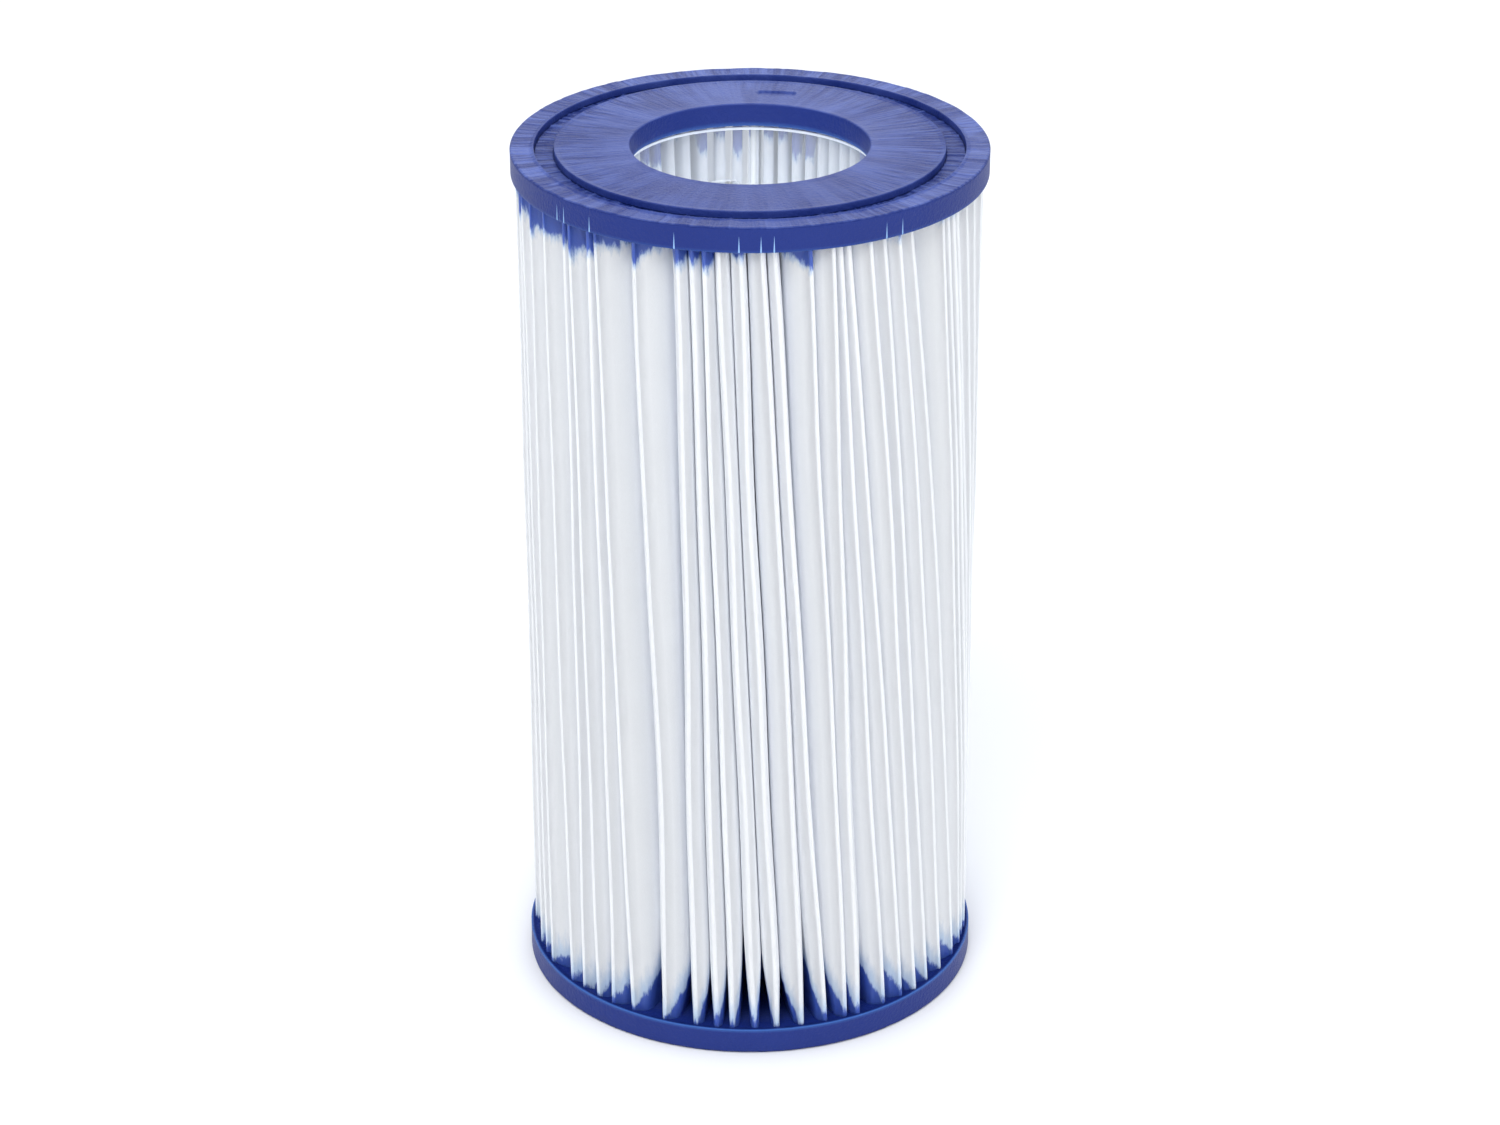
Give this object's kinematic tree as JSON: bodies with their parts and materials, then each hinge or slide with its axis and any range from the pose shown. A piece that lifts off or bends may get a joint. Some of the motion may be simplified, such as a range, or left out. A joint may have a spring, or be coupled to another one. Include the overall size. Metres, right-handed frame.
{
  "type": "filter cartridge",
  "caption": "Pleated round filter cartridge with a cast resin cap on each end, a windowed core tube and an open bore through the middle.",
  "frame": {"origin": "centre of the bottom face, on the cartridge's axis", "axes": "+Z along the cartridge's axis from the bottom cap to the top cap; the blank recess in the top cap is near +Y and -Y is the front"},
  "size_m": [0.106, 0.106, 0.203],
  "materials": {
    "bottom_cap_resin": "satin cast blue polyurethane",
    "top_cap_resin": "satin cast blue polyurethane",
    "core_plastic": "milky natural polypropylene",
    "filter_media": "matt white spunbonded polyester, blue where the resin has soaked in",
    "hot_melt": "waxy translucent hot-melt adhesive"
  },
  "bodies": {
    "root": {"bottom_end_cap": "bottom_cap_resin", "top_end_cap": "top_cap_resin", "centre_core": "core_plastic", "pleated_media": "filter_media", "media_seam_bead": "hot_melt"}
  },
  "joints": []
}
